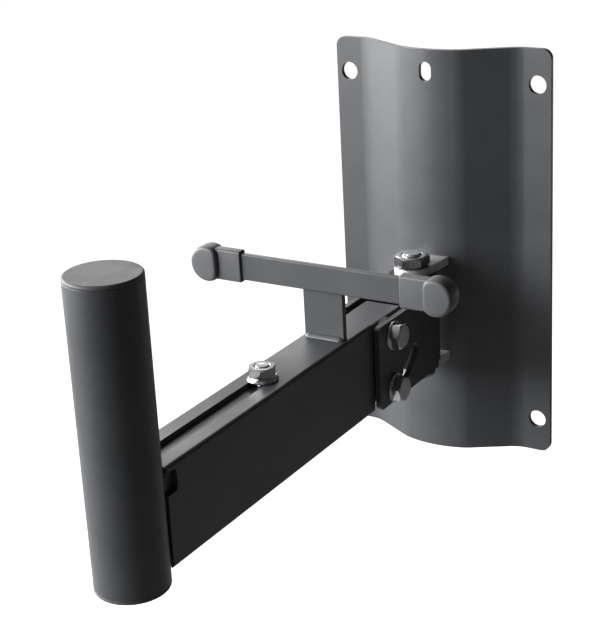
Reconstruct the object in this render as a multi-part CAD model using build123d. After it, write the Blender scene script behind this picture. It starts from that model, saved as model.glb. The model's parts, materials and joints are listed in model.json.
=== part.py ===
# Speaker wall bracket. A crowned wall plate carries a swivelling yoke, the yoke carries a tilting
# arm, and a short inner tube with the speaker pole slides in the arm and is clamped there.
# Millimetres. +X is to the right as seen from the room, +Y points into the wall, +Z is up.
# The origin is the centre of the four wall holes, on the face that lies on the wall.

import os
from math import asin, degrees, radians, sqrt, tan

from build123d import *

os.makedirs("parts", exist_ok=True)

# Clearances
pin_gap = 0.05  # radial, a bolt that turns in its hole or carries a thread
hole_gap = 0.3  # radial, a bolt in a plain hole, and each side of a bolt in a slot
slide_gap = 0.3  # each side, the inner tube in the arm tube
face_gap = 0.05  # flat faces that slide past each other
cope_gap = 0.5  # the arm tube's coped mouth from the pole
swing_gap = 0.4  # each side, the arm tube between the cheeks
swivel_gap = 0.75  # the cheeks' lower edges above the lower ear

# Wall plate, one pressed sheet
plate_width = 134
plate_height = 240
plate_thick = 3
plate_corner = 5.5
flange_width = 20.5  # each flat flange, from the plate's edge to the flank
crown_edge = 19  # half width at which the flanks turn into the round crown
flank_angle = 30
crown_rise = 3.4  # the crown's middle ahead of its edges
plate_bend = 5  # the sheet's bends, on the wall side
wall_hole = 10.5
wall_hole_inset_x = 8  # the wall holes' centres inside the plate's edges
wall_hole_inset_z = 20
hang_slot_drop = 12.5  # below the plate's upper edge
hang_slot_width = 7.5
hang_slot_length = 11

# Swivel: two ears on the plate, a through bolt, and the yoke's tube between them
pan_reach = 43.6  # wall to swivel axis
ear_base = 24
ear_tip_radius = 10
ear_thick = 5
pan_bolt_size = 12
pan_hex = 18
pan_head_size = 19
pan_head_height = 3.2
pan_head_edge = 1.2
pan_nut_height = 6.5
pan_washer_size = 24
pan_washer_thick = 1.6
pivot_tube_size = 30
pivot_tube_wall = 4
bush_flange_thick = 1.5
bush_flange_size = 27
bush_length = 14

# Yoke: two cheek plates welded to the swivel tube
cheek_thick = 3
cheek_top_drop = 1.65  # below the top of the arm
cheek_foot = 0.75  # above the arm's lower side
cheek_corner = 3
cheek_weld_lap = 3.2  # how far the cheeks end ahead of the swivel axis
cheek_tube_room = 5.0  # the swivel tube stands this far above the cheeks

# Tilt: a pivot bolt, and a lock bolt in an arc-shaped slot
tilt_reach = 100.8  # wall to tilt axis
tilt_drop = 10.4  # below the top of the arm
lock_rise = 9.2  # the lock bolt above the arm's lower side
tilt_range = 54
cheek_nose = 15.1  # the cheeks' front edge ahead of the tilt axis
m8 = 8
m8_hex = 13
m8_head_height = 5.3
m8_nut_height = 8
m8_tip = 1.5  # a bolt's end past its nut
m8_washer_size = 16
m8_washer_thick = 1.6
spacer_size = 18
nut_collar_height = 2.4  # the round top of a lock nut, which holds its locking ring
nut_collar_inset = 0.3  # the collar inside the flats
nut_collar_edge = 1.2

# Arm: slotted outer tube, with a narrower stub at its back that hangs between the cheeks
arm_top = -7.65
arm_width = 28
arm_height = 50
arm_wall = 2.5
tube_bend = 0.6  # inside radius of every box tube's corners
tube_edge = 2.1  # their outside radius
arm_gap = 0.5  # the arm tube's rear end ahead of the cheeks
arm_mouth = 13  # the pole's axis ahead of the arm tube's front end
slot_clear = 0.6  # each side of the clamp bolt
notch_length = 7.5  # relief in the side walls at the mouth
notch_drop = 3
notch_height = 11
tongue_wall = 2.2
tongue_tail = 22  # past the tilt axis
tongue_tail_cut = 6  # off its lower corner, which swings past the swivel tube
tongue_hold = 51.2  # inside the arm tube

# Support for the back of the speaker: post, cross bar and two end caps
post_setback = 26  # the post's front face ahead of the arm tube's rear end
post_width = 23.6
post_thick = 3.2
post_shy = 3  # the post ends this far below the top of the bar
bar_height = 14.4
bar_thick = 3.2
bar_rise = 33.8  # the bar's middle above the arm
bar_length = 132
cap_disc_radius = 9.7
cap_disc_centre = 67.3  # from the arm's middle plane
cap_disc_depth = 11
cap_disc_proud = 4.1  # ahead of the bar's front face
cap_neck = 61  # where disc and sleeve meet
cap_mouth = 47  # the sleeve's open end
cap_wall = 1.4
cap_edge = 1.2  # the sleeve's long edges
cap_rim = 2.5  # the disc's rim on the wall side
cap_front_rim = 1.8

# Slider: inner tube, pole and clamp
pole_size = 35
pole_wall = 2
pole_length = 144
pole_below = 53.45  # the pole tube's lower end below the top of the arm
cap_flange_thick = 2
cap_flange_edge = 0.8
cap_plug_length = 12
cap_plug_wall = 2
cap_plug_gap = 0.1
inner_wall = 2
inner_gap = 13.8  # the inner tube's rear end ahead of the tongue
inner_tail = 21  # the inner tube's rear end behind the clamp bolt
clamp_travel = 88.1  # until the flange nut reaches the arm's coped mouth
clamp_head_size = 17
clamp_head_height = 4
clamp_head_rim = 1
clamp_flange = 15.8
clamp_flange_thick = 1.6
clamp_nut_height = 7.5
clamp_tip = 0.5

weld_leg = 2.2


def turned(*outline):
    """A solid of revolution about Z from its half outline, as (radius, height) points."""
    return revolve(Plane.XZ * Polygon(*outline, align=None), Axis.Z)


def washer(size, bore, thick):
    """A flat ring that stands on the XY plane."""
    return extrude(Circle(size / 2) - Circle(bore / 2), thick)


def hex_block(across_flats, height, both_ends=False):
    """A hexagonal block on the XY plane, its corners turned off at 30 degrees."""
    flat = across_flats / 2
    corner = across_flats / sqrt(3)
    fall = (corner - flat) * tan(radians(30))
    low = (flat, 0), (corner, fall)
    if not both_ends:
        low = ((corner, 0),)
    blank = turned((0, 0), *low, (corner, height - fall), (flat, height), (0, height))
    return extrude(RegularPolygon(flat, 6, major_radius=False), height) & blank


def shank(size, length):
    """A plain shank that hangs below the XY plane, with a chamfered end."""
    chamfer_leg = size / 10
    return turned(
        (0, 0), (size / 2, 0), (size / 2, chamfer_leg - length),
        (size / 2 - chamfer_leg, -length), (0, -length),
    )


def hex_nut(size, across_flats, height):
    """A plain nut on the XY plane."""
    bore = Cylinder(size / 2 + pin_gap, height, align=(Align.CENTER, Align.CENTER, Align.MIN))
    return hex_block(across_flats, height, both_ends=True) - bore


def lock_nut(size, across_flats, height):
    """A nut with a round collar on its hexagon."""
    collar_radius = across_flats / 2 - nut_collar_inset
    collar = turned((0, 0), (collar_radius, 0), (collar_radius, height - nut_collar_edge),
                    (collar_radius - nut_collar_edge, height), (0, height))
    bore = Cylinder(size / 2 + pin_gap, height, align=(Align.CENTER, Align.CENTER, Align.MIN))
    return hex_block(across_flats, height - nut_collar_height, both_ends=True) + collar - bore


def box_tube(width, height, wall, rear, front, middle):
    """A box tube along Y, from its rear end to its front end, centred at the height middle."""
    outer = RectangleRounded(width, height, tube_edge)
    inner = RectangleRounded(width - 2 * wall, height - 2 * wall, tube_bend)
    end = Plane((0, rear, middle), x_dir=(1, 0, 0), z_dir=(0, -1, 0))
    return extrude(end * (outer - inner), rear - front)


def upright(radius, low, high, y):
    """A round bar along Z."""
    bar = Cylinder(radius, high - low, align=(Align.CENTER, Align.CENTER, Align.MIN))
    return Pos(0, y, low) * bar


def crosswise(radius, length, x, y, z):
    """A round bar along X, centred at x."""
    return Pos(x, y, z) * Rot(0, 90, 0) * Cylinder(radius, length)


def pair(right_one):
    """A piece on the right and its mirror image on the left."""
    return [right_one, mirror(right_one, about=Plane.YZ)]


def save(name, *solids):
    """Writes one named piece, or a group of like pieces."""
    group = solids[0] if len(solids) == 1 else Compound(children=list(solids))
    export_step(group, f"parts/{name}.step")


# Wall plate
flange_edge = plate_width / 2 - flange_width
flank_rise = (flange_edge - crown_edge) * tan(radians(flank_angle))
crown_radius = (crown_edge ** 2 + crown_rise ** 2) / (2 * crown_rise)
plate_back = flank_rise + crown_rise  # the crown's hollow side ahead of the wall
plate_front = plate_back + plate_thick


def plate_section():
    """The sheet's section across the wall, as seen from above."""
    half = plate_width / 2
    wall_side = Wire([
        Line((-half, 0), (-flange_edge, 0)),
        Line((-flange_edge, 0), (-crown_edge, -flank_rise)),
        ThreePointArc((-crown_edge, -flank_rise), (0, -plate_back), (crown_edge, -flank_rise)),
        Line((crown_edge, -flank_rise), (flange_edge, 0)),
        Line((flange_edge, 0), (half, 0)),
    ])
    bends = [v for v in wall_side.vertices() if abs(v.X) < half - 0.01]
    wall_side = wall_side.fillet_2d(plate_bend, bends)
    return make_face(offset(wall_side, plate_thick, side=Side.RIGHT, closed=True))


def make_wall_plate():
    sheet = Pos(0, 0, -plate_height / 2) * extrude(plate_section(), plate_height)
    ends = sheet.edges().filter_by(Axis.Y).filter_by(lambda e: abs(e.center().X) > flange_edge)
    sheet = fillet(ends, plate_corner)
    pitch_x = plate_width - 2 * wall_hole_inset_x
    pitch_z = plate_height - 2 * wall_hole_inset_z
    holes = Sketch() + GridLocations(pitch_x, pitch_z, 2, 2) * Circle(wall_hole / 2)
    hang_slot = Rot(0, 0, 90) * SlotOverall(hang_slot_length, hang_slot_width)
    holes += Pos(0, plate_height / 2 - hang_slot_drop) * hang_slot
    return sheet - extrude(Plane.XZ * holes, plate_front + plate_thick)


wall_plate = make_wall_plate()
save("wall_plate", wall_plate)

# Heights of the arm and of the yoke
arm_bottom = arm_top - arm_height
arm_middle = arm_top - arm_height / 2
cheek_top = arm_top - cheek_top_drop
cheek_bottom = arm_bottom + cheek_foot
pan_y = -pan_reach
lower_ear_top = cheek_bottom - swivel_gap
upper_ear_bottom = cheek_top + cheek_tube_room


def make_ear(low):
    """A lug that narrows from the plate to a round tip about the swivel bolt."""
    base_y = -plate_front + plate_thick / 2
    tip = Pos(0, pan_y) * Circle(ear_tip_radius)
    base = Pos(0, base_y) * Rectangle(ear_base, plate_thick, align=(Align.CENTER, Align.MAX))
    outline = make_hull((tip + base).edges())
    bolt_hole = Pos(0, pan_y) * Circle(pan_bolt_size / 2 + hole_gap)
    return Pos(0, 0, low) * extrude(outline - bolt_hole, ear_thick) - wall_plate


upper_ear = make_ear(upper_ear_bottom)
lower_ear = make_ear(lower_ear_top - ear_thick)
save("upper_ear", upper_ear)
save("lower_ear", lower_ear)


def make_ear_weld(z):
    """A bead along the plate's crown, in the corner below an ear."""
    front_radius = crown_radius + plate_thick
    spread = 2 * degrees(asin((ear_base / 2 - weld_leg) / front_radius))
    corner = Polygon((front_radius, 0), (front_radius + weld_leg, 0), (front_radius, -weld_leg), align=None)
    bead = revolve(Plane.XZ * corner, Axis.Z, spread)
    return Pos(0, crown_radius - plate_back, z) * Rot(0, 0, -90 - spread / 2) * bead


save("ear_welds", *[make_ear_weld(z) for z in (upper_ear_bottom, lower_ear_top - ear_thick)])

# Swivel bolt, nut and washers
pan_bolt_low = lower_ear_top - ear_thick - pan_washer_thick
pan_nut_low = upper_ear_bottom + ear_thick + pan_washer_thick
pan_bolt_length = pan_nut_low + pan_nut_height + m8_tip - pan_bolt_low
pan_head = turned(
    (0, 0), (pan_head_size / 2, 0), (pan_head_size / 2, pan_head_height - pan_head_edge),
    (pan_head_size / 2 - pan_head_edge, pan_head_height), (0, pan_head_height),
)
pan_bolt = pan_head + shank(pan_bolt_size, pan_bolt_length)
save("pan_bolt", Pos(0, pan_y, pan_bolt_low) * Rot(180, 0, 0) * pan_bolt)
save("pan_nut", Pos(0, pan_y, pan_nut_low) * hex_nut(pan_bolt_size, pan_hex, pan_nut_height))
pan_washer = washer(pan_washer_size, pan_bolt_size + 2 * hole_gap, pan_washer_thick)
save("pan_washers", *[Pos(0, pan_y, z) * pan_washer for z in (pan_bolt_low, pan_nut_low - pan_washer_thick)])

# Swivel tube of the yoke, on two flanged bushes
tube_low = lower_ear_top + face_gap + bush_flange_thick
tube_high = upper_ear_bottom - face_gap - bush_flange_thick
tube_bore = pivot_tube_size - 2 * pivot_tube_wall
tube_blank = upright(pivot_tube_size / 2, tube_low, tube_high, pan_y)
pivot_tube = tube_blank - upright(tube_bore / 2, tube_low, tube_high, pan_y)
save("pivot_tube", pivot_tube)

bush_bore = pan_bolt_size / 2 + pin_gap
bush = turned(
    (bush_bore, -bush_flange_thick), (bush_flange_size / 2, -bush_flange_thick),
    (bush_flange_size / 2, 0), (tube_bore / 2, 0), (tube_bore / 2, bush_length),
    (bush_bore, bush_length),
)
save("lower_bush", Pos(0, pan_y, tube_low) * bush)
save("upper_bush", Pos(0, pan_y, tube_high) * Rot(180, 0, 0) * bush)

# Cheeks of the yoke, with the tilt hole and the arc slot for the lock bolt
cheek_inside = arm_width / 2 + swing_gap
cheek_outside = cheek_inside + cheek_thick
tilt_y = -tilt_reach
tilt_z = arm_top - tilt_drop
lock_z = arm_bottom + lock_rise
lock_radius = tilt_z - lock_z
cheek_front_y = tilt_y - cheek_nose
cheek_rear_y = pan_y - cheek_weld_lap


def make_cheek():
    """The right cheek: one flat plate whose rear edge is cut to the swivel tube."""
    length = cheek_rear_y - cheek_front_y
    height = cheek_top - cheek_bottom
    plate = Pos(cheek_front_y, cheek_bottom) * Rectangle(length, height, align=(Align.MIN, Align.MIN))
    plate = fillet(plate.vertices().group_by(Axis.X)[0], cheek_corner)
    tilt_hole = Pos(tilt_y, tilt_z) * Circle(m8 / 2 + pin_gap)
    lock_arc = CenterArc((tilt_y, tilt_z), lock_radius, -90, tilt_range)
    lock_slot = SlotArc(lock_arc, m8 + 2 * hole_gap)
    side = Plane.YZ.offset(cheek_inside)
    return extrude(side * (plate - tilt_hole - lock_slot), cheek_thick) - tube_blank


cheek_right, cheek_left = pair(make_cheek())
save("cheek_right", cheek_right)
save("cheek_left", cheek_left)

yoke_weld = upright(weld_leg, cheek_bottom + weld_leg, cheek_top - weld_leg, cheek_rear_y)
yoke_weld = Pos(cheek_inside + weld_leg / 2, 0, 0) * yoke_weld - cheek_right - tube_blank
yoke_weld -= Pos(0, cheek_rear_y, arm_middle) * Box(2 * cheek_inside, 4 * weld_leg, arm_height)
save("yoke_welds", *pair(yoke_weld))

# Tilt bolt and lock bolt, each with washers outside and spacers inside the cheeks
m8_bolt_length = 2 * (cheek_outside + m8_washer_thick) + m8_nut_height + m8_tip
m8_bolt = hex_block(m8_hex, m8_head_height) + shank(m8, m8_bolt_length)
tongue_width = arm_width - 2 * arm_wall
spacer_thick = cheek_inside - tongue_width / 2 - 2 * face_gap


def save_cross_bolt(name, z, washer_gap, spacer_bore):
    """A bolt along X through both cheeks, its nut, washers and spacers."""
    seat = Pos(cheek_outside + m8_washer_thick + washer_gap, tilt_y, z)
    save(f"{name}_bolt", seat * Rot(0, 90, 0) * m8_bolt)
    nut_place = Pos(-cheek_outside - m8_washer_thick - washer_gap, tilt_y, z) * Rot(0, -90, 0)
    save(f"{name}_nut", nut_place * lock_nut(m8, m8_hex, m8_nut_height))
    ring = washer(m8_washer_size, m8 + 2 * hole_gap, m8_washer_thick)
    save(f"{name}_washers", *pair(Pos(cheek_outside + washer_gap, tilt_y, z) * Rot(0, 90, 0) * ring))
    ring = washer(spacer_size, m8 + 2 * spacer_bore, spacer_thick)
    place = Pos(tongue_width / 2 + face_gap, tilt_y, z) * Rot(0, 90, 0)
    save(f"{name}_spacers", *pair(place * ring))


save_cross_bolt("tilt", tilt_z, 0, pin_gap)
save_cross_bolt("lock", lock_z, face_gap, hole_gap)

# Arm tube: straight box tube, coped to the pole, with the clamp slot and two relief notches
arm_rear_y = cheek_front_y - arm_gap
tongue_front_y = arm_rear_y - tongue_hold
inner_rear_y = tongue_front_y - inner_gap
clamp_y = inner_rear_y - inner_tail
pole_y = clamp_y - clamp_travel - clamp_flange / 2 - cope_gap - pole_size / 2
arm_front_y = pole_y + arm_mouth
slot_width = m8 + 2 * slot_clear


def make_arm_tube():
    tube = box_tube(arm_width, arm_height, arm_wall, arm_rear_y, arm_front_y, arm_middle)
    tube -= upright(pole_size / 2 + cope_gap, arm_bottom, arm_top, pole_y)
    slot = Pos(0, clamp_y) * Circle(slot_width / 2)
    slot += Pos(0, clamp_y) * Rectangle(
        slot_width, clamp_y - arm_front_y, align=(Align.CENTER, Align.MAX))
    tube -= Pos(0, 0, arm_top - arm_wall - tube_bend) * extrude(slot, arm_wall + 2 * tube_bend)
    notch = Pos(arm_front_y, arm_top - notch_drop) * Rectangle(
        2 * notch_length, notch_height, align=(Align.CENTER, Align.MAX))
    notch = fillet(notch.vertices(), notch_height / 5)
    return tube - extrude(Plane.YZ * notch, arm_width, both=True)


arm_tube = make_arm_tube()
save("arm_tube", arm_tube)

# Tongue: the narrower stub that hangs on the tilt and lock bolts
tongue_height = arm_height - 2 * arm_wall
tongue_rear_y = tilt_y + tongue_tail
tongue = box_tube(tongue_width, tongue_height, tongue_wall, tongue_rear_y, tongue_front_y, arm_middle)
for z, gap in ((tilt_z, pin_gap), (lock_z, hole_gap)):
    tongue -= crosswise(m8 / 2 + gap, arm_width, 0, tilt_y, z)
tail_corner = Plane.YZ * Pos(tongue_rear_y, arm_middle - tongue_height / 2) * Polygon(
    (0, 0), (-tongue_tail_cut, 0), (0, tongue_tail_cut), align=None)
tongue -= extrude(tail_corner, tongue_width, both=True)
save("tilt_tongue", tongue)

# Support post, cross bar and end caps
post_y = arm_rear_y - post_setback
bar_front_y = post_y - bar_thick
bar_z = arm_top + bar_rise
post_height = bar_rise + bar_height / 2 - post_shy
post = Pos(0, post_y, arm_top) * Box(
    post_width, post_thick, post_height, align=(Align.CENTER, Align.MIN, Align.MIN))
bar = Pos(0, bar_front_y, bar_z) * Box(
    bar_length, bar_thick, bar_height, align=(Align.CENTER, Align.MIN, Align.CENTER))
save("support_post", post)
save("support_bar", bar)


def make_bar_cap():
    """The right end cap: a sleeve over the bar's end and a round foot across it."""
    sleeve_width = bar_thick + 2 * cap_wall
    sleeve = Pos(cap_mouth, bar_front_y + bar_thick / 2, bar_z) * Box(
        cap_disc_centre - cap_mouth, sleeve_width, bar_height + 2 * cap_wall,
        align=(Align.MIN, Align.CENTER, Align.CENTER))
    sleeve = fillet(sleeve.edges().filter_by(Axis.X), cap_edge)
    disc = Cylinder(cap_disc_radius, cap_disc_depth, align=(Align.CENTER, Align.CENTER, Align.MIN))
    rims = disc.edges().filter_by(GeomType.CIRCLE).sort_by(Axis.Z)
    disc = fillet(rims[-1], cap_rim)
    disc = fillet(disc.edges().filter_by(GeomType.CIRCLE).sort_by(Axis.Z)[0], cap_front_rim)
    disc = Pos(cap_disc_centre, bar_front_y - cap_disc_proud, bar_z) * Rot(-90, 0, 0) * disc
    neck_side = Pos(cap_neck, 0, 0) * Box(
        cap_disc_radius, 4 * cap_disc_depth, 4 * cap_disc_radius, align=(Align.MAX, Align.CENTER, Align.CENTER))
    disc -= Pos(0, bar_front_y, bar_z) * neck_side
    return sleeve + disc - bar


bar_cap_right, bar_cap_left = pair(make_bar_cap())
save("bar_cap_right", bar_cap_right)
save("bar_cap_left", bar_cap_left)

# Welds of the arm: at both sides of the post's foot, under the bar, and round the tongue's mouth
foot_welds = [
    crosswise(weld_leg, post_width - weld_leg, 0, y, arm_top) - post - arm_tube - Pos(
        0, y, arm_top) * Box(post_width, 4 * weld_leg, arm_wall, align=(Align.CENTER, Align.CENTER, Align.MAX))
    for y in (post_y, post_y + post_thick)
]
bar_weld = crosswise(weld_leg / 2, post_width - weld_leg, 0, post_y, bar_z - bar_height / 2) - post - bar
tongue_welds = [
    crosswise(weld_leg / 2, tongue_width - 4 * tube_bend, 0, arm_rear_y, z) - arm_tube - tongue
    - Pos(0, arm_rear_y, arm_middle) * Box(tongue_width, 4 * weld_leg, tongue_height)
    for z in (arm_middle + tongue_height / 2, arm_middle - tongue_height / 2)
]
save("arm_welds", *foot_welds, bar_weld, *tongue_welds)

# Pole tube and its two plugs
pole_low = arm_top - pole_below
pole_high = pole_low + pole_length
pole_blank = upright(pole_size / 2, pole_low, pole_high, pole_y)
pole = pole_blank - upright(pole_size / 2 - pole_wall, pole_low, pole_high, pole_y)
save("pole", pole)

plug_radius = pole_size / 2 - pole_wall - cap_plug_gap
pole_cap = turned(
    (0, cap_flange_thick), (pole_size / 2 - cap_flange_edge, cap_flange_thick),
    (pole_size / 2, cap_flange_thick - cap_flange_edge),
    (pole_size / 2, 0), (plug_radius, 0), (plug_radius, -cap_plug_length),
    (plug_radius - cap_plug_wall, -cap_plug_length), (plug_radius - cap_plug_wall, 0), (0, 0),
)
save("pole_cap_top", Pos(0, pole_y, pole_high) * pole_cap)
save("pole_cap_bottom", Pos(0, pole_y, pole_low) * Rot(180, 0, 0) * pole_cap)

# Inner tube, welded to the pole and sliding in the arm tube
inner_width = arm_width - 2 * arm_wall - 2 * slide_gap
inner_height = arm_height - 2 * arm_wall - 2 * slide_gap
inner_top = arm_middle + inner_height / 2
inner_tube = box_tube(inner_width, inner_height, inner_wall, inner_rear_y, pole_y, arm_middle)
inner_tube -= pole_blank
clamp_hole = upright(m8 / 2 + hole_gap, inner_top - 2 * inner_wall, inner_top + inner_wall, clamp_y)
inner_tube -= clamp_hole
save("inner_tube", inner_tube)

# Short welds in the corners between the inner tube's sides and the pole, inside the arm's notches
seam_y = pole_y + sqrt((pole_size / 2) ** 2 - (inner_width / 2) ** 2)
seam_high = arm_top - notch_drop - notch_height / 5
seam = upright(weld_leg / 2, seam_high - 3 * notch_height / 5, seam_high, seam_y)
seam = Pos(inner_width / 2, 0, 0) * seam - pole_blank - inner_tube
save("pole_welds", *pair(seam))

# Clamp: a round-headed bolt through the inner tube, and a flange nut on the arm
clamp_seat = inner_top - inner_wall
clamp_nut_low = arm_top + face_gap
clamp_top = clamp_nut_low + clamp_nut_height + clamp_tip
head_dome = turned(
    (0, clamp_seat), (clamp_head_size / 2, clamp_seat), (clamp_head_size / 2, clamp_seat - clamp_head_rim),
    (clamp_head_size / 4, clamp_seat - clamp_head_height), (0, clamp_seat - clamp_head_height),
)
clamp_shank = upright(m8 / 2, clamp_seat - clamp_head_rim, clamp_top - m8 / 10, clamp_y)
clamp_bolt = Pos(0, clamp_y, 0) * head_dome + clamp_shank
clamp_bolt += Pos(0, clamp_y, clamp_top - m8 / 10) * Cone(
    m8 / 2, m8 / 2 - m8 / 10, m8 / 10, align=(Align.CENTER, Align.CENTER, Align.MIN))
save("clamp_bolt", clamp_bolt)

flange_skirt = turned(
    (0, 0), (clamp_flange / 2, 0), (clamp_flange / 2, clamp_flange_thick / 2),
    (m8_hex / 2, 2 * clamp_flange_thick), (0, 2 * clamp_flange_thick),
)
clamp_nut = hex_block(m8_hex, clamp_nut_height) + flange_skirt
clamp_nut -= Cylinder(m8 / 2 + pin_gap, clamp_nut_height, align=(Align.CENTER, Align.CENTER, Align.MIN))
save("clamp_nut", Pos(0, clamp_y, clamp_nut_low) * clamp_nut)
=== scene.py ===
import json
from math import cos, pi, radians, sin, sqrt, tan

import bmesh
import bpy
from mathutils import Matrix, Vector

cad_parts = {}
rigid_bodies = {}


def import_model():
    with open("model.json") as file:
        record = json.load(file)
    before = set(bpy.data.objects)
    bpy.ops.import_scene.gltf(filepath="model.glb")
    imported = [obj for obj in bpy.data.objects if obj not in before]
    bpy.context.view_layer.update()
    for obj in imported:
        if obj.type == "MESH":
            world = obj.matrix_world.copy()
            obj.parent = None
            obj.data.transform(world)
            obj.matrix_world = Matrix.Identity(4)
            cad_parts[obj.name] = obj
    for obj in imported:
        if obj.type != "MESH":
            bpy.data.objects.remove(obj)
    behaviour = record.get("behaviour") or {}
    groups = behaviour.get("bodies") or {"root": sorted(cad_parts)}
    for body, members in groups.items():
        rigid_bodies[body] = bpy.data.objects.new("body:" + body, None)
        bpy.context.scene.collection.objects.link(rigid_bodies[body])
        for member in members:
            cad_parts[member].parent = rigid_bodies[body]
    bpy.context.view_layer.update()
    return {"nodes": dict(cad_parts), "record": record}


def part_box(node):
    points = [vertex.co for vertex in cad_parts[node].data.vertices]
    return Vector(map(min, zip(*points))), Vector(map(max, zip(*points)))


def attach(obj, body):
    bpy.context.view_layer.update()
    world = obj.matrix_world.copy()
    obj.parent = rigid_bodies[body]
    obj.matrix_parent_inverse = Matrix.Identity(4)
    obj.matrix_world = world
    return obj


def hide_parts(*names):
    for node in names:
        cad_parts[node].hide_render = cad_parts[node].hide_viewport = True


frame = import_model()
mm = 0.001
print("frame loaded:", len(frame["nodes"]), "nodes")


# An empty shader group with inputs and outputs for single values
def newGroup(name, inputs, outputs):
    group = bpy.data.node_groups.new(name, "ShaderNodeTree")
    for socketName, value in inputs.items():
        socket = group.interface.new_socket(name=socketName, in_out="INPUT", socket_type="NodeSocketFloat")
        socket.default_value = value
    for socketName in outputs:
        group.interface.new_socket(name=socketName, in_out="OUTPUT", socket_type="NodeSocketFloat")
    return group, group.nodes.new("NodeGroupInput"), group.nodes.new("NodeGroupOutput")


def addNode(tree, kind, **values):
    node = tree.nodes.new(kind)
    for key, value in values.items():
        node.inputs[key].default_value = value
    return node


# Links a socket to what feeds it, or sets it to a plain value
def feed(tree, socket, item):
    if isinstance(item, bpy.types.NodeSocket):
        tree.links.new(item, socket)
    else:
        socket.default_value = item


def addNoise(tree, vector, scale, detail, rough):
    noise = addNode(tree, "ShaderNodeTexNoise", Detail=detail, Roughness=rough)
    feed(tree, noise.inputs["Scale"], scale)
    tree.links.new(vector, noise.inputs["Vector"])
    return noise.outputs["Fac"]


def addRange(tree, value, fromLow, fromHigh, toLow, toHigh):
    node = tree.nodes.new("ShaderNodeMapRange")
    tree.links.new(value, node.inputs["Value"])
    for key, item in (("From Min", fromLow), ("From Max", fromHigh), ("To Min", toLow), ("To Max", toHigh)):
        feed(tree, node.inputs[key], item)
    return node.outputs["Result"]


def addMath(tree, kind, first, second):
    node = tree.nodes.new("ShaderNodeMath")
    node.operation = kind
    feed(tree, node.inputs[0], first)
    feed(tree, node.inputs[1], second)
    return node.outputs["Value"]


def mixColour(tree, factor, first, second):
    node = tree.nodes.new("ShaderNodeMix")
    node.data_type = "RGBA"
    shown = {socket.name: socket for socket in node.inputs if socket.enabled}
    tree.links.new(factor, shown["Factor"])
    shown["A"].default_value = (*first, 1.0)
    shown["B"].default_value = (*second, 1.0)
    return [socket for socket in node.outputs if socket.enabled][0]


def objectPlace(tree):
    return tree.nodes.new("ShaderNodeTexCoord").outputs["Object"]


# Clouds from 0 to 1, stretched from the span that noise seldom leaves
def addClouds(tree, place, size):
    return addRange(tree, addNoise(tree, place, size, 5.0, 0.6), 0.3, 0.7, 0.0, 1.0)


coatSpread = {"swellSize": 130.0, "toneSize": 38.0}


# Orange peel of a sprayed and baked coat, with a slow swell under it
def makeCoatGrain():
    inputs = {"Peel Size": 900.0, "Peel": 1.0, "Swell": 0.6}
    group, given, out = newGroup("coatGrain", inputs, ("Height", "Tone"))
    place = objectPlace(group)
    peel = addNoise(group, place, given.outputs["Peel Size"], 2.0, 0.55)
    swell = addNoise(group, place, coatSpread["swellSize"], 3.0, 0.5)
    height = addMath(group, "ADD", addMath(group, "MULTIPLY", peel, given.outputs["Peel"]),
                     addMath(group, "MULTIPLY", swell, given.outputs["Swell"]))
    group.links.new(height, out.inputs["Height"])
    group.links.new(addClouds(group, place, coatSpread["toneSize"]), out.inputs["Tone"])
    return group


smearForm = {"detail": 4.0, "rough": 0.62, "from": 0.32, "to": 0.68}


# Soft smears where a surface has been touched, which change how it shines
def makeHandling():
    group, given, out = newGroup("handling", {"Size": 24.0, "Low": 0.4, "High": 0.5}, ("Roughness",))
    place = objectPlace(group)
    smear = addNoise(group, place, given.outputs["Size"], smearForm["detail"], smearForm["rough"])
    shine = addRange(group, smear, smearForm["from"], smearForm["to"], given.outputs["Low"],
                     given.outputs["High"])
    group.links.new(shine, out.inputs["Roughness"])
    return group


coatGrain = makeCoatGrain()
handling = makeHandling()


def placeGroup(tree, group, values):
    node = tree.nodes.new("ShaderNodeGroup")
    node.node_tree = group
    for key, value in values.items():
        node.inputs[key].default_value = value
    return node


def newFinish(name, rough=0.5, metallic=0.0):
    finish = bpy.data.materials.new(name)
    finish.use_nodes = True
    tree = finish.node_tree
    surface = tree.nodes["Principled BSDF"]
    surface.inputs["Roughness"].default_value = rough
    surface.inputs["Metallic"].default_value = metallic
    return finish, tree, surface


def addHandling(tree, surface, look):
    values = {"Size": look["smearSize"], "Low": look["roughLow"], "High": look["roughHigh"]}
    touch = placeGroup(tree, handling, values)
    tree.links.new(touch.outputs["Roughness"], surface.inputs["Roughness"])


def addBump(tree, surface, height, look):
    bump = addNode(tree, "ShaderNodeBump", Strength=look["bump"], Distance=look["bumpDepth"])
    tree.links.new(height, bump.inputs["Height"])
    tree.links.new(bump.outputs["Normal"], surface.inputs["Normal"])


def makeCoatFinish(name, look):
    finish, tree, surface = newFinish(name)
    values = {"Peel Size": look["peelSize"], "Peel": look["peel"], "Swell": look["swell"]}
    grain = placeGroup(tree, coatGrain, values)
    colour = mixColour(tree, grain.outputs["Tone"], look["dark"], look["light"])
    tree.links.new(colour, surface.inputs["Base Color"])
    addHandling(tree, surface, look)
    addBump(tree, surface, grain.outputs["Height"], look)
    return finish


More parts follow.
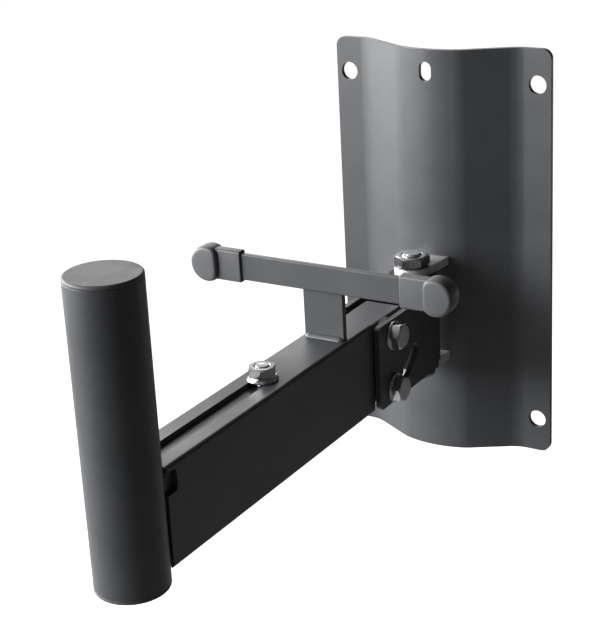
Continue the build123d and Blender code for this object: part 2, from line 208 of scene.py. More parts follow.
powderLook = {
    "dark": (0.043, 0.045, 0.049), "light": (0.055, 0.057, 0.061),
    "peelSize": 950.0, "peel": 1.0, "swell": 0.5, "bump": 0.16, "bumpDepth": 0.12 * mm,
    "smearSize": 26.0, "roughLow": 0.40, "roughHigh": 0.50,
}
capLook = {
    "dark": (0.066, 0.068, 0.072), "light": (0.080, 0.082, 0.086),
    "peelSize": 1900.0, "peel": 0.8, "swell": 0.3, "bump": 0.10, "bumpDepth": 0.08 * mm,
    "smearSize": 60.0, "roughLow": 0.42, "roughHigh": 0.56,
}
plugLook = {
    "dark": (0.056, 0.057, 0.060), "light": (0.068, 0.069, 0.072),
    "peelSize": 2400.0, "peel": 0.9, "swell": 0.2, "bump": 0.12, "bumpDepth": 0.06 * mm,
    "smearSize": 50.0, "roughLow": 0.46, "roughHigh": 0.60,
}
nylonLook = {
    "dark": (0.018, 0.018, 0.019), "light": (0.026, 0.026, 0.027),
    "peelSize": 2000.0, "peel": 0.6, "swell": 0.2, "bump": 0.08, "bumpDepth": 0.05 * mm,
    "smearSize": 60.0, "roughLow": 0.5, "roughHigh": 0.65,
}


def makeZincFinish(name, look):
    finish, tree, surface = newFinish(name, metallic=look["metallic"])
    place = objectPlace(tree)
    colour = mixColour(tree, addClouds(tree, place, look["cloudSize"]), look["dark"], look["light"])
    tree.links.new(colour, surface.inputs["Base Color"])
    addHandling(tree, surface, look)
    addBump(tree, surface, addNoise(tree, place, look["grainSize"], 2.0, 0.5), look)
    return finish


zincLook = {
    "dark": (0.38, 0.385, 0.39), "light": (0.48, 0.485, 0.49), "cloudSize": 60.0, "metallic": 1.0,
    "smearSize": 160.0, "roughLow": 0.15, "roughHigh": 0.22,
    "grainSize": 700.0, "bump": 0.02, "bumpDepth": 0.02 * mm,
}
lugLook = {
    "dark": (0.64, 0.645, 0.65), "light": (0.74, 0.745, 0.75), "cloudSize": 70.0, "metallic": 0.6,
    "smearSize": 90.0, "roughLow": 0.38, "roughHigh": 0.52,
    "grainSize": 1100.0, "bump": 0.10, "bumpDepth": 0.04 * mm,
}
finishes = {
    "powder_black": makeCoatFinish("powderCoat", powderLook),
    "cap_grey": makeCoatFinish("capPlastic", capLook),
    "plug_black": makeCoatFinish("plugPlastic", plugLook),
    "nylon": makeCoatFinish("spacerNylon", nylonLook),
    "zinc": makeZincFinish("zincPlate", zincLook),
}
lugFinish = makeZincFinish("lugSteel", lugLook)
print("finishes made:", len(finishes) + 1)

slotOf = {part["node"]: part["material_slot"] for part in frame["record"]["subparts"]}
bodyOf = {node: body for body, members in frame["record"]["behaviour"]["bodies"].items() for node in members}
replaced = set()
smoothBelow = {"plain": 32, "fastener": 28, "moulded": 40, "weld": 50}    # degrees


# The mesh becomes a piece that rides on the first node's body and stands for the nodes given.
# A piece with a slot of its own is an addition and stands for none
def finishPiece(name, bm, nodes, kind="plain", extraSlot=None):
    mesh = bpy.data.meshes.new(name)
    bmesh.ops.recalc_face_normals(bm, faces=bm.faces)
    bm.to_mesh(mesh)
    bm.free()
    mesh.shade_smooth()
    mesh.set_sharp_from_angle(angle=radians(smoothBelow[kind]))
    piece = bpy.data.objects.new(name, mesh)
    bpy.context.scene.collection.objects.link(piece)
    slotName = extraSlot or slotOf[nodes[0]]
    mesh.materials.append(finishes[slotName])
    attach(piece, bodyOf[nodes[0]])
    if not extraSlot:
        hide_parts(*nodes)
        replaced.update(nodes)
    return piece


# Rounds the sharp edges, as a coat or a tumbled edge does
def softEdges(piece, width, angle=35, rows=2):
    bevel = piece.modifiers.new("softEdges", "BEVEL")
    bevel.width = width
    bevel.segments = rows
    bevel.limit_method = "ANGLE"
    bevel.angle_limit = radians(angle)
    bevel.harden_normals = True
    bevel.miter_outer = "MITER_ARC"
    weighted = piece.modifiers.new("evenShade", "WEIGHTED_NORMAL")
    weighted.keep_sharp = True
    weighted.weight = 100


meshCare = {"joinGap": 0.002 * mm, "flatBelow": 0.6, "cutGap": 0.001 * mm}


# The node's mesh, with the facets of each flat face joined again
def nodeMesh(node):
    bm = bmesh.new()
    bm.from_mesh(frame["nodes"][node].data)
    bmesh.ops.remove_doubles(bm, verts=bm.verts, dist=meshCare["joinGap"])
    bmesh.ops.dissolve_limit(bm, angle_limit=radians(meshCare["flatBelow"]), verts=bm.verts, edges=bm.edges)
    return bm


def nodeBox(node):
    low, high = (Vector(v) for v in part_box(node))
    return low, high, (low + high) / 2


def camelName(node):
    first, *rest = node.split("_")
    return first + "".join(word.capitalize() for word in rest)


edgeWidths = {    # millimetres
    "wall_plate": 0.45, "upper_ear": 0.35, "lower_ear": 0.35, "pivot_tube": 0.35,
    "cheek_left": 0.4, "cheek_right": 0.4, "arm_tube": 0.3, "tilt_tongue": 0.3,
    "support_post": 0.5, "support_bar": 0.6, "inner_tube": 0.3, "pole": 0.3,
    "tilt_washers": 0.2, "lock_washers": 0.2,
    "pole_cap_top": 0.35, "pole_cap_bottom": 0.35,
}

# Each bend has its middle, its change of slope, how much further out it lies on the room side, its new
# half width, and the half width it has already on the wall side and on the room side
sheetBends = {
    "flange": dict(middle=46.5 * mm, turn=-0.577, shift=0.8 * mm, reach=5 * mm, tight=(1.34 * mm, 0.54 * mm)),
    "crown": dict(middle=19 * mm, turn=0.208, shift=1.27 * mm, reach=3 * mm, tight=(0.42 * mm, 0.68 * mm)),
}
bendCuts = 5
sheetThick = 3.0 * mm


# Widens the long bends of the pressed sheet, so that the light rolls over them
def softenBends(bm):
    for bend in sheetBends.values():
        places = [bend["middle"] + bend["reach"] * k / bendCuts for k in range(-bendCuts, bendCuts + 1)]
        for x in places + [-x for x in places]:
            bmesh.ops.bisect_plane(bm, geom=bm.verts[:] + bm.edges[:] + bm.faces[:], dist=meshCare["cutGap"],
                                   plane_co=(x, 0, 0), plane_no=(1, 0, 0))
    flange = sheetBends["flange"]
    for vert in bm.verts:
        x, y = abs(vert.co.x), vert.co.y
        roomSide = y < flange["turn"] * max(0.0, flange["middle"] - x) - sheetThick / 2
        for bend in sheetBends.values():
            off = abs(x - bend["middle"] - bend["shift"] * roomSide)
            spans = (bend["reach"], bend["tight"][roomSide])
            wide, narrow = (max(0.0, span - off) ** 2 / (4 * span) for span in spans)
            vert.co.y += bend["turn"] * (wide - narrow)


for node, width in edgeWidths.items():
    shape = nodeMesh(node)
    if node == "wall_plate":
        softenBends(shape)
    softEdges(finishPiece(camelName(node), shape, [node]), width * mm)
for node in ("upper_ear", "lower_ear"):
    bpy.data.objects[camelName(node)].data.materials[0] = lugFinish

capForm = {
    "discX": 67.3 * mm, "radius": 9.7 * mm, "neck": 61 * mm, "blend": 2.6 * mm, "frontRim": 1.8 * mm,
    "backRim": 2.5 * mm, "mouth": 47 * mm, "sleeveEdge": 1.2 * mm, "leastEdge": 0.25 * mm,
    "mouthRound": 0.8 * mm, "wall": 1.4 * mm, "sleeveShort": 2 * mm, "turns": 72, "steps": 6,
    "farthest": 1.2, "halvings": 26,
}


# How far the disc reaches from its middle in one direction, for an outline shrunk by the inset. The outline
# is a circle cut off straight at the neck, with blended corners
def discReach(turn, inset):
    near, far = 0.0, capForm["radius"] * capForm["farthest"]
    for _ in range(capForm["halvings"]):
        reach = (near + far) / 2
        roundPart = reach - capForm["radius"]
        neckPart = (capForm["neck"] - capForm["discX"]) - reach * cos(turn)
        overlap = max(capForm["blend"] - abs(roundPart - neckPart), 0.0) / capForm["blend"]
        if max(roundPart, neckPart) + overlap ** 2 * capForm["blend"] / 4 > -inset:
            far = reach
        else:
            near = reach
    return near


def joinRows(bm, rows):
    for first, second in zip(rows, rows[1:]):
        for k in range(len(first)):
            n = (k + 1) % len(first)
            bm.faces.new((first[k], first[n], second[n], second[k]))
    bm.faces.new(rows[0])
    bm.faces.new(rows[-1])


# The moulded caps: a round disc cut straight at its neck, and a sleeve over the bar's end
def makeBarCap(node, side):
    cap = bmesh.new()
    low, high, middle = nodeBox(node)
    barLow, barHigh, barMiddle = nodeBox("support_bar")
    quarter = [radians(90 * k / capForm["steps"]) for k in range(capForm["steps"] + 1)]
    front, back = capForm["frontRim"], capForm["backRim"]
    levels = [(front * (1 - sin(a)), low.y + front * (1 - cos(a))) for a in quarter]
    levels += [(back * (1 - cos(a)), high.y - back * (1 - sin(a))) for a in quarter]
    rows = []
    for inset, y in levels:
        row = []
        for k in range(capForm["turns"]):
            turn = 2 * pi * k / capForm["turns"]
            reach = discReach(turn, inset)
            x = capForm["discX"] + reach * cos(turn)
            row.append(cap.verts.new((side * x, y, middle.z + reach * sin(turn))))
        rows.append(row)
    joinRows(cap, rows)

    halfY = (barHigh.y - barLow.y) / 2 + capForm["wall"]
    halfZ = (barHigh.z - barLow.z) / 2 + capForm["wall"]
    mouth, soft = capForm["mouth"], capForm["mouthRound"]
    levels = [(capForm["wall"], mouth)]
    levels += [(soft * (1 - sin(a)), mouth + soft * (1 - cos(a))) for a in quarter]
    levels.append((0.0, capForm["discX"] - capForm["sleeveShort"]))
    rows = []
    for inset, x in levels:
        corner = max(capForm["leastEdge"], capForm["sleeveEdge"] - inset)
        row = []
        for cornerY, cornerZ, start in ((1, 1, 0), (-1, 1, 90), (-1, -1, 180), (1, -1, 270)):
            for k in range(capForm["steps"] + 1):
                a = radians(start + 90 * k / capForm["steps"])
                y = cornerY * (halfY - inset - corner) + corner * cos(a)
                z = cornerZ * (halfZ - inset - corner) + corner * sin(a)
                row.append(cap.verts.new((side * x, barMiddle.y + y, barMiddle.z + z)))
        rows.append(row)
    joinRows(cap, rows)
    finishPiece(camelName(node), cap, [node], "moulded")


makeBarCap("bar_cap_left", -1)
makeBarCap("bar_cap_right", 1)
print("nodes dressed:", len(replaced))


# Joins rows of (radius, height) round an axis. A row may also be a function of the angle
def lathe(bm, place, rows, sides=72, closed=True):
    rings = []
    for row in rows:
        ring = []
        for k in range(sides):
            turn = 2 * pi * k / sides
            radius, height = row(turn) if callable(row) else row
            ring.append(bm.verts.new(place @ Vector((radius * cos(turn), radius * sin(turn), height))))
        rings.append(ring)
    if not closed:
        rings.append(rings[0])
    for low, high in zip(rings, rings[1:]):
        for k in range(sides):
            bm.faces.new((low[k], low[(k + 1) % sides], high[(k + 1) % sides], high[k]))
    if closed:
        bm.faces.new(rings[0])
        bm.faces.new(rings[-1])


# The corner is a share of the hexagon's half width, and the lead-in a share of the bore
hexForm = {"corner": 1.142, "chamfer": 30, "lead": 0.09, "sides": 120}


# The reach of a hexagon with a corner on the X axis, its corners a little cut back
def hexReach(turn, flat):
    off = (turn % (pi / 3)) - pi / 6
    return min(flat / cos(off), flat * hexForm["corner"])


# A hexagonal block whose corners are turned off at an angle. A bore of 0 leaves it solid
def hexBlock(bm, place, flat, low, high, bore=0.0, bothEnds=True, rim=0.96):
    slope = tan(radians(hexForm["chamfer"]))

    def edge(level, inward):
        return lambda turn: (hexReach(turn, flat),
                             level + inward * slope * max(0.0, hexReach(turn, flat) - flat * rim))

    foot = [(flat * rim, low), edge(low, 1)] if bothEnds else [edge(low, 0)]
    head = [edge(high, -1), (flat * rim, high)]
    if bore:
        lead = hexForm["lead"] * bore
        lathe(bm, place, [(bore + lead, low), *foot, *head, (bore + lead, high), (bore, high - lead),
                          (bore, low + lead)], hexForm["sides"], closed=False)
    else:
        lathe(bm, place, [*foot, *head], hexForm["sides"])


# Depth and nose are shares of the pitch, and end and dish are shares of the root's radius
threadForm = {
    "depth": 0.55, "nose": 0.75, "shank": 0.02 * mm, "flank": 1.35, "crest": 0.17, "noseGap": 0.1 * mm,
    "noseSlope": 1.2, "end": 0.82, "dish": 0.3, "dishDepth": 0.12 * mm, "sides": 36, "steps": 8,
}


# A rod along Z with a plain part, one twisting ridge for its thread and a turned-down end
def threadedRod(bm, place, radius, pitch, low, start, high):
    depth = threadForm["depth"] * pitch
    nose = threadForm["nose"] * pitch
    steps = threadForm["steps"]
    rows = [(radius - threadForm["shank"], low), (radius - threadForm["shank"], start - pitch)]
    count = int((high - start) / pitch * steps)

    def thread(level, fade):
        def row(turn):
            phase = ((level - start) / pitch - turn / (2 * pi)) % 1.0
            ridge = abs(2 * phase - 1)
            flank = min(1.0, max(0.0, threadForm["flank"] * ridge - threadForm["crest"]))
            reach = radius - fade * depth * flank
            cone = max(0.0, high - level) * depth / nose * threadForm["noseSlope"]
            return min(reach, radius - depth - threadForm["noseGap"] + cone), level
        return row

    for step in range(count + 1):
        level = start + (high - start) * step / count
        rows.append(thread(level, min(1.0, step / (2 * steps))))
    rows += [((radius - depth) * threadForm["end"], high),
             ((radius - depth) * threadForm["dish"], high - threadForm["dishDepth"])]
    lathe(bm, place, rows, threadForm["sides"])


# Turns +Z to the axis given, with the corner of a hexagon at this angle about it
def alongAxis(origin, axis, turn=0.0):
    tipped = Vector(axis).to_track_quat("Z", "Y").to_matrix().to_4x4()
    return Matrix.Translation(origin) @ tipped @ Matrix.Rotation(radians(turn), 4, "Z")


crossBolt = {
    "radius": 4.0 * mm, "pitch": 1.25 * mm, "flat": 6.5 * mm, "head": 5.3 * mm, "headRim": 0.95,
    "thread": 22 * mm, "overlap": 0.2 * mm,
    "bore": 3.9 * mm, "nut": 5.6 * mm, "collar": 6.2 * mm, "collarEdge": 1.2 * mm, "lip": 0.9 * mm,
    "lipEdge": 0.15 * mm, "sink": 0.3 * mm,
    "insert": 3.75 * mm, "insertGap": 0.1 * mm, "insertDrop": 0.35 * mm,
}


# A hexagon bolt through both cheeks, with a lock nut that has a collar and a nylon ring
def makeCrossBolt(node, nutNode, turn, nutTurn):
    low, high, middle = nodeBox(node)
    bolt = bmesh.new()
    flat, head, overlap = crossBolt["flat"], crossBolt["head"], crossBolt["overlap"]
    place = alongAxis(Vector((high.x - head, middle.y, middle.z)), (1, 0, 0), turn)
    hexBlock(bolt, place, flat, 0, head, bothEnds=False, rim=crossBolt["headRim"])
    length = high.x - head - low.x
    threadedRod(bolt, alongAxis(Vector((high.x - head + overlap, middle.y, middle.z)), (-1, 0, 0)),
                crossBolt["radius"], crossBolt["pitch"], 0, length - crossBolt["thread"], length + overlap)
    finishPiece(camelName(node), bolt, [node], "fastener")

    low, high, middle = nodeBox(nutNode)
    nut = bmesh.new()
    place = alongAxis(Vector((high.x, middle.y, middle.z)), (-1, 0, 0), nutTurn)
    bore, tall, sink = crossBolt["bore"], crossBolt["nut"], crossBolt["sink"]
    hexBlock(nut, place, flat, 0, tall, bore)
    full, edgeLeg, collar = high.x - low.x, crossBolt["collarEdge"], crossBolt["collar"]
    lip = bore + crossBolt["lip"]
    inner = lip - crossBolt["lipEdge"]
    rows = [(collar, tall - sink), (collar, full - edgeLeg)]
    rows += [(collar - edgeLeg * (1 - cos(radians(a))), full - edgeLeg * (1 - sin(radians(a))))
             for a in (30, 60, 90)]
    rows += [(lip, full), (inner, full - sink), (inner, tall - sink)]
    lathe(nut, place, rows, closed=False)
    finishPiece(camelName(nutNode), nut, [nutNode], "fastener")

    ring = bmesh.new()
    insert, outer, top = crossBolt["insert"], lip - crossBolt["insertGap"], full - crossBolt["insertDrop"]
    lathe(ring, place, [(insert, tall), (outer, tall), (outer, top), (insert, top)], 48, closed=False)
    finishPiece(camelName(nutNode) + "Ring", ring, [nutNode], "moulded", "nylon")


makeCrossBolt("tilt_bolt", "tilt_nut", 52, 12)
makeCrossBolt("lock_bolt", "lock_nut", 48, 40)


# The round face of a head, from its middle out to its edge
def domeRows(reach, rise):
    return [(reach * sin(radians(a)), rise * (1 - cos(radians(a)))) for a in range(6, 91, 12)]


swivelBolt = {
    "radius": 6.0 * mm, "pitch": 1.75 * mm, "thread": 20 * mm, "overlap": 0.1 * mm, "tip": 1.2 * mm,
    "head": 9.5 * mm, "headHeight": 3.2 * mm, "domeShare": 0.62, "sideShare": 0.95, "headEdge": 0.15 * mm,
    "flat": 9.0 * mm, "turn": 28, "bore": 5.9 * mm, "nut": 6.0 * mm, "nutRim": 0.93,
    "washer": 0.7 * mm, "washerReach": 10.2 * mm, "headWasher": 1.6 * mm, "headWasherReach": 12 * mm,
    "washerBore": 6.3 * mm, "washerEdge": 0.2 * mm,
}


# The upright bolt of the ears, with its head below them, two washers and a plain nut on top
def makeSwivelBolt():
    low, _, middle = nodeBox("pan_bolt")
    earTop = nodeBox("upper_ear")[1].z
    bolt = bmesh.new()
    base = Vector((middle.x, middle.y, low.z))
    head, height, thin = swivelBolt["head"], swivelBolt["headHeight"], swivelBolt["washer"]
    rows = [*domeRows(head, height * swivelBolt["domeShare"]), (head, height * swivelBolt["sideShare"]),
            (head - swivelBolt["headEdge"], height)]
    lathe(bolt, alongAxis(base, (0, 0, 1)), rows)
    length = earTop + thin + swivelBolt["nut"] + swivelBolt["tip"] - low.z
    threadedRod(bolt, alongAxis(base, (0, 0, 1)), swivelBolt["radius"], swivelBolt["pitch"],
                height - swivelBolt["overlap"], length - swivelBolt["thread"], length)
    finishPiece("panBolt", bolt, ["pan_bolt"], "fastener")

    nut = bmesh.new()
    place = alongAxis(Vector((middle.x, middle.y, earTop + thin)), (0, 0, 1), swivelBolt["turn"])
    hexBlock(nut, place, swivelBolt["flat"], 0, swivelBolt["nut"], swivelBolt["bore"],
             rim=swivelBolt["nutRim"])
    finishPiece("panNut", nut, ["pan_nut"], "fastener")

    rings = bmesh.new()
    bore, soft = swivelBolt["washerBore"], swivelBolt["washerEdge"]
    washers = ((earTop, thin, swivelBolt["washerReach"]),
               (base.z + height, swivelBolt["headWasher"], swivelBolt["headWasherReach"]))
    for level, thick, reach in washers:
        rows = [(bore, 0), (reach - soft, 0), (reach, soft), (reach, thick - soft), (reach - soft, thick),
                (bore, thick)]
        lathe(rings, alongAxis(Vector((middle.x, middle.y, level)), (0, 0, 1)), rows, closed=False)
    finishPiece("panWashers", rings, ["pan_washers"], "fastener")


makeSwivelBolt()

# The skirt's rows are millimetres out from its edge and up, and the cone's are shares of the half width
# and millimetres up
clampLook = {
    "radius": 4.0 * mm, "pitch": 1.25 * mm, "overlap": 0.1 * mm, "plain": 2 * mm,
    "head": 8.5 * mm, "headHeight": 4.0 * mm, "rim": 1.0 * mm, "headEdge": 0.1 * mm,
    "flat": 6.5 * mm, "turn": -1, "bore": 3.9 * mm, "nutLow": 1.4 * mm, "nutRim": 0.94,
    "skirt": ((-0.25, 0), (0, 0.3), (0, 0.9), (-0.25, 1.2)), "cone": ((1.06, 2.5), (0.9, 2.7)),
}


# The clamp's round-headed bolt, and its nut with a round flange
def makeClamp():
    low, high, middle = nodeBox("clamp_bolt")
    bolt = bmesh.new()
    place = alongAxis(Vector((middle.x, middle.y, low.z)), (0, 0, 1))
    head, height = clampLook["head"], clampLook["headHeight"]
    rows = [*domeRows(head, height - clampLook["rim"]), (head, height),
            (head - clampLook["headEdge"], height)]
    lathe(bolt, place, rows)
    threadedRod(bolt, place, clampLook["radius"], clampLook["pitch"], height - clampLook["overlap"],
                height + clampLook["plain"], high.z - low.z)
    finishPiece("clampBolt", bolt, ["clamp_bolt"], "fastener")

    low, high, middle = nodeBox("clamp_nut")
    nut = bmesh.new()
    place = alongAxis(Vector((middle.x, middle.y, low.z)), (0, 0, 1), clampLook["turn"])
    flat, bore, edge = clampLook["flat"], clampLook["bore"], (high.x - low.x) / 2
    hexBlock(nut, place, flat, clampLook["nutLow"], high.z - low.z, bore, bothEnds=False,
             rim=clampLook["nutRim"])
    rows = [(edge + out * mm, level * mm) for out, level in clampLook["skirt"]]
    rows += [(flat * share, level * mm) for share, level in clampLook["cone"]]
    lathe(nut, place, [(bore, 0), *rows, (bore, rows[-1][1])], 96, closed=False)
    finishPiece("clampNut", nut, ["clamp_nut"], "fastener")


makeClamp()
print("fasteners made")

weldLook = {
    "step": 0.45 * mm, "ripple": 1.35 * mm, "swing": 0.10, "lean": 0.55, "fan": 7, "buried": 0.25,
    "endSize": 0.25, "endGrowth": 0.75, "uneven": 0.04, "unevenTurn": 5.1, "unevenStart": 1.3,
    "mean": 0.93, "bulge": 0.07, "leastRows": 8,
}


# A rippled bead in the corner between two faces, along a path of points. Each leg points along its face,
# and the first may also be a function of the share of the path
def weldBead(bm, path, firstLeg, secondLeg, phase):
    rows = []
    legAt = firstLeg if callable(firstLeg) else lambda share: firstLeg
    total = sum((b - a).length for a, b in zip(path, path[1:]))
    leg = legAt(0).length
    count = max(weldLook["leastRows"], int(total / weldLook["step"]))
    for step in range(count + 1):
        share = step / count
        along = share * total
        reach = along
        point = path[-1]
        for a, b in zip(path, path[1:]):
            if reach <= (b - a).length:
                point = a.lerp(b, reach / (b - a).length)
                break
            reach -= (b - a).length
        one = legAt(share)
        toEnd = sqrt(max(0.0, min(along, total - along) / leg))
        fade = min(1.0, toEnd * weldLook["endGrowth"] + weldLook["endSize"])
        row = [bm.verts.new(point - (one + secondLeg) * weldLook["buried"])]
        for k in range(weldLook["fan"] + 1):
            a = pi / 2 * k / weldLook["fan"]
            wave = (along - weldLook["lean"] * leg * sin(2 * a)) / weldLook["ripple"] + phase
            uneven = weldLook["uneven"] * sin(weldLook["unevenTurn"] * wave + weldLook["unevenStart"])
            tall = 1 - weldLook["swing"] * (wave % 1.0) + uneven
            size = fade * tall * (weldLook["mean"] + weldLook["bulge"] * cos(4 * a))
            row.append(bm.verts.new(point + one * size * cos(a) + secondLeg * size * sin(a)))
        rows.append(row)
    joinRows(bm, rows)


armWeld = {
    "inset": 0.3 * mm, "postLeg": 2.2 * mm, "barLeg": 1.1 * mm, "tongueLeg": 1.1 * mm,
    "tongueInset": 1.2 * mm, "barPhase": 0.4, "tonguePhase": 0.7,
}


# Beads before and behind the post's foot, under the bar, and above and below the tongue
def makeArmWelds():
    bead = bmesh.new()
    armHigh = nodeBox("arm_tube")[1]
    postLow, postHigh, _ = nodeBox("support_post")
    barLow = nodeBox("support_bar")[0]
    tongueLow, tongueHigh, _ = nodeBox("tilt_tongue")
    postEnds = (postLow.x + armWeld["inset"], postHigh.x - armWeld["inset"])
    leg = armWeld["postLeg"]
    for y, side in ((postLow.y, -1), (postHigh.y, 1)):
        path = [Vector((x, y, armHigh.z)) for x in postEnds]
        weldBead(bead, path, Vector((0, side * leg, 0)), Vector((0, 0, leg)), side)
    leg = armWeld["barLeg"]
    path = [Vector((x, postLow.y, barLow.z)) for x in postEnds]
    weldBead(bead, path, Vector((0, -leg, 0)), Vector((0, 0, -leg)), armWeld["barPhase"])
    tongueEnds = (tongueLow.x + armWeld["tongueInset"], tongueHigh.x - armWeld["tongueInset"])
    leg = armWeld["tongueLeg"]
    for z, side in ((tongueHigh.z, 1), (tongueLow.z, -1)):
        path = [Vector((x, armHigh.y, z)) for x in tongueEnds]
        phase = side * armWeld["tonguePhase"]
        weldBead(bead, path, Vector((0, leg, 0)), Vector((0, 0, side * leg)), phase)
    finishPiece("armWelds", bead, ["arm_welds"], "weld")


yokeWeld = {"inset": 2.2 * mm, "outLeg": 2.3 * mm, "backLeg": 2.1 * mm, "backAside": 0.35 * mm, "phase": 0.3}


# A bead on the swivel tube beside the rear edge of each cheek
def makeYokeWelds():
    bead = bmesh.new()
    cheekLow, cheekHigh, _ = nodeBox("cheek_right")
    tubeLow, tubeHigh, tubeMiddle = nodeBox("pivot_tube")
    radius = (tubeHigh.x - tubeLow.x) / 2
    rearY = cheekHigh.y
    cornerX = sqrt(radius ** 2 - (tubeMiddle.y - rearY) ** 2)
    levels = (cheekLow.z + yokeWeld["inset"], cheekHigh.z - yokeWeld["inset"])
    for side in (-1, 1):
        path = [Vector((side * cornerX, rearY, z)) for z in levels]
        outward = Vector((side * yokeWeld["outLeg"], 0, 0))
        back = Vector((side * yokeWeld["backAside"], yokeWeld["backLeg"], 0))
        weldBead(bead, path, outward, back, side * yokeWeld["phase"])
    finishPiece("yokeWelds", bead, ["yoke_welds"], "weld")


earWeld = {"crown": 57.8 * mm, "half": 9.6 * mm, "leg": 2.1 * mm, "points": 12, "phase": 0.2}


# A bead along the plate's crown in the corner below each ear
def makeEarWelds():
    bead = bmesh.new()
    plateFront = nodeBox("wall_plate")[0].y
    crown, half, leg = earWeld["crown"], earWeld["half"], earWeld["leg"]

    def outward(share):
        x = half * (2 * share - 1)
        return Vector((x / crown, -sqrt(1 - (x / crown) ** 2), 0)) * leg

    for node in ("upper_ear", "lower_ear"):
        z = nodeBox(node)[0].z
        path = []
        for k in range(earWeld["points"] + 1):
            x = half * (2 * k / earWeld["points"] - 1)
            path.append(Vector((x, plateFront + crown - sqrt(crown ** 2 - x ** 2), z)))
        weldBead(bead, path, outward, Vector((0, 0, -leg)), earWeld["phase"])
    finishPiece("earWelds", bead, ["ear_welds"], "weld")


makeYokeWelds()
makeEarWelds()
makeArmWelds()
print("welds made")

# The nodes that no piece stands for keep their own shape
for node, obj in frame["nodes"].items():
    if node not in replaced:
        obj.data.materials.clear()
        obj.data.materials.append(finishes[slotOf[node]])

# Glossy rays meet the glow behind the object, and the sky on its left and on its right
studio = {
    "floorDrop": 0.6, "floorSize": 14.0, "floorTone": 0.35,
    "glow": 0.9, "glowStart": 1.0, "glowFull": 1.8, "glowSlant": 0.6,
    "fill": 0.04, "skyLeft": 0.74, "skyRight": 0.065, "skySlant": -0.3, "skyFrom": -0.5, "skyTo": 0.6,
}


def addRays(tree):
    rays = tree.nodes.new("ShaderNodeLightPath").outputs
    seen = addMath(tree, "MAXIMUM", rays["Is Camera Ray"], rays["Is Transmission Ray"])
    return seen, rays["Is Glossy Ray"]


def splitPlace(tree, kind):
    split = tree.nodes.new("ShaderNodeSeparateXYZ")
    tree.links.new(tree.nodes.new("ShaderNodeTexCoord").outputs[kind], split.inputs["Vector"])
    return split.outputs["X"], split.outputs["Y"]


# Plain paper that is white to the camera and glows behind the object for glossy rays
def makeFloor():
    bm = bmesh.new()
    half = studio["floorSize"] / 2
    corners = [(-half, -half), (half, -half), (half, half), (-half, half)]
    bm.faces.new([bm.verts.new((x, y, -studio["floorDrop"])) for x, y in corners])
    mesh = bpy.data.meshes.new("studioFloor")
    bm.to_mesh(mesh)
    bm.free()
    floor = bpy.data.objects.new("studioFloor", mesh)
    bpy.context.scene.collection.objects.link(floor)
    finish, tree, surface = newFinish("floorPaper", rough=1.0)
    tone = studio["floorTone"]
    surface.inputs["Base Color"].default_value = (tone, tone, tone, 1)
    surface.inputs["Specular IOR Level"].default_value = 0.0
    surface.inputs["Emission Color"].default_value = (1, 1, 1, 1)
    seen, glossyRay = addRays(tree)
    x, y = splitPlace(tree, "Object")
    behind = addMath(tree, "SUBTRACT", y, addMath(tree, "MULTIPLY", x, studio["glowSlant"]))
    glow = addRange(tree, behind, studio["glowStart"], studio["glowFull"], 0.0, studio["glow"])
    lift = addMath(tree, "ADD", seen, addMath(tree, "MULTIPLY", glossyRay, glow))
    tree.links.new(lift, surface.inputs["Emission Strength"])
    mesh.materials.append(finish)


# White to the camera, brighter on the left than on the right to glossy rays, and a dim fill to the rest
def makeWorld():
    world = bpy.data.worlds.new("studioWorld")
    bpy.context.scene.world = world
    world.use_nodes = True
    tree = world.node_tree
    tree.nodes.clear()
    seen, glossyRay = addRays(tree)
    x, y = splitPlace(tree, "Generated")
    side = addMath(tree, "SUBTRACT", addMath(tree, "MULTIPLY", y, studio["skySlant"]), x)
    sky = addRange(tree, side, studio["skyFrom"], studio["skyTo"], studio["skyRight"], studio["skyLeft"])
    plain = addMath(tree, "MULTIPLY", addMath(tree, "SUBTRACT", 1.0, glossyRay), studio["fill"])
    other = addMath(tree, "ADD", addMath(tree, "MULTIPLY", glossyRay, sky), plain)
    unseen = addMath(tree, "MULTIPLY", addMath(tree, "SUBTRACT", 1.0, seen), other)
    shine = addNode(tree, "ShaderNodeBackground", Color=(1, 1, 1, 1))
    tree.links.new(addMath(tree, "ADD", unseen, seen), shine.inputs["Strength"])
    out = tree.nodes.new("ShaderNodeOutputWorld")
    tree.links.new(shine.outputs["Background"], out.inputs["Surface"])


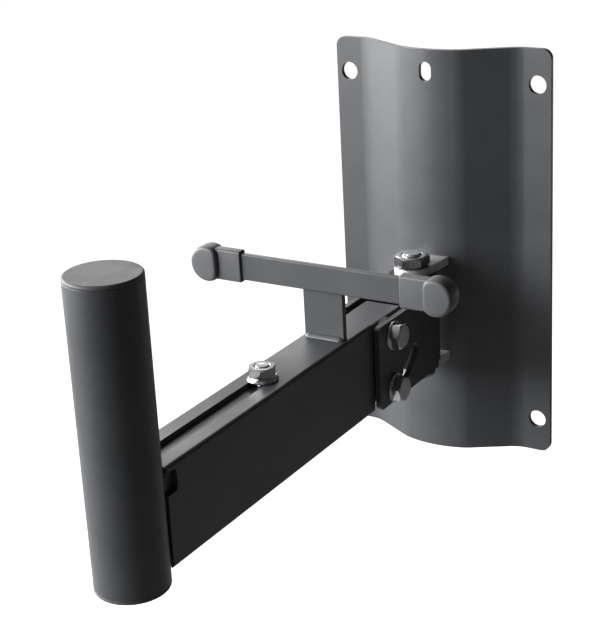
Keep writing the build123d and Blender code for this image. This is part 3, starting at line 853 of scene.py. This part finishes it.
# A soft box that faces the target. Azimuth 0 is in front of the wall, and it grows to the left
def addLamp(name, target, azimuth, elevation, distance, size, power):
    lamp = bpy.data.lights.new(name, "AREA")
    lamp.shape = "RECTANGLE"
    lamp.size, lamp.size_y = size
    lamp.energy = power
    obj = bpy.data.objects.new(name, lamp)
    bpy.context.scene.collection.objects.link(obj)
    turn, rise = radians(azimuth), radians(elevation)
    away = Vector((-sin(turn) * cos(rise), -cos(turn) * cos(rise), sin(rise)))
    obj.location = Vector(target) + away * distance
    obj.rotation_euler = away.to_track_quat("Z", "Y").to_euler()


lampAim = (0, -0.12, 0)
lamps = {
    "keyBox": dict(azimuth=54, elevation=16, distance=1.2, size=(1.3, 0.7), power=43),
    "sideBox": dict(azimuth=90, elevation=12, distance=1.5, size=(0.9, 0.9), power=22),
    "backBox": dict(azimuth=140, elevation=30, distance=1.5, size=(0.9, 0.9), power=8),
}

# Its place is in metres, its turns are in degrees, and focal, centre and frame are in pixels
photoCamera = {
    "place": (0.4036, -0.8055, 0.29875), "azimuth": 32.45, "elevation": 20.16, "roll": -3.15,
    "focal": 1606.1, "centre": (293.2, 301.1), "frame": (593, 640), "near": 0.05, "far": 60.0,
}


# A camera that looks at the wall, turned to the left by the azimuth and down by the elevation
def makeCamera(shot):
    turn, drop, roll = (radians(shot[key]) for key in ("azimuth", "elevation", "roll"))
    ahead = Vector((-sin(turn) * cos(drop), cos(turn) * cos(drop), -sin(drop)))
    right = ahead.cross(Vector((0, 0, 1))).normalized()
    up = right.cross(ahead)
    cameraX = cos(roll) * right + sin(roll) * up
    cameraY = -sin(roll) * right + cos(roll) * up
    lens = bpy.data.cameras.new("photoCamera")
    lens.sensor_fit = "HORIZONTAL"
    lens.sensor_width = 36.0
    wide, high = shot["frame"]
    lens.lens = shot["focal"] / wide * lens.sensor_width
    lens.shift_x = (wide / 2 - shot["centre"][0]) / wide
    lens.shift_y = -(high / 2 - shot["centre"][1]) / wide
    lens.clip_start = shot["near"]
    lens.clip_end = shot["far"]
    camera = bpy.data.objects.new("photoCamera", lens)
    bpy.context.scene.collection.objects.link(camera)
    turned = Matrix((cameraX, cameraY, -ahead)).transposed().to_4x4()
    camera.matrix_world = Matrix.Translation(Vector(shot["place"])) @ turned
    bpy.context.scene.camera = camera


makeFloor()
makeWorld()
for lampName, setting in lamps.items():
    addLamp(lampName, lampAim, **setting)
makeCamera(photoCamera)
bpy.context.scene.view_settings.view_transform = "Standard"
print("studio ready")
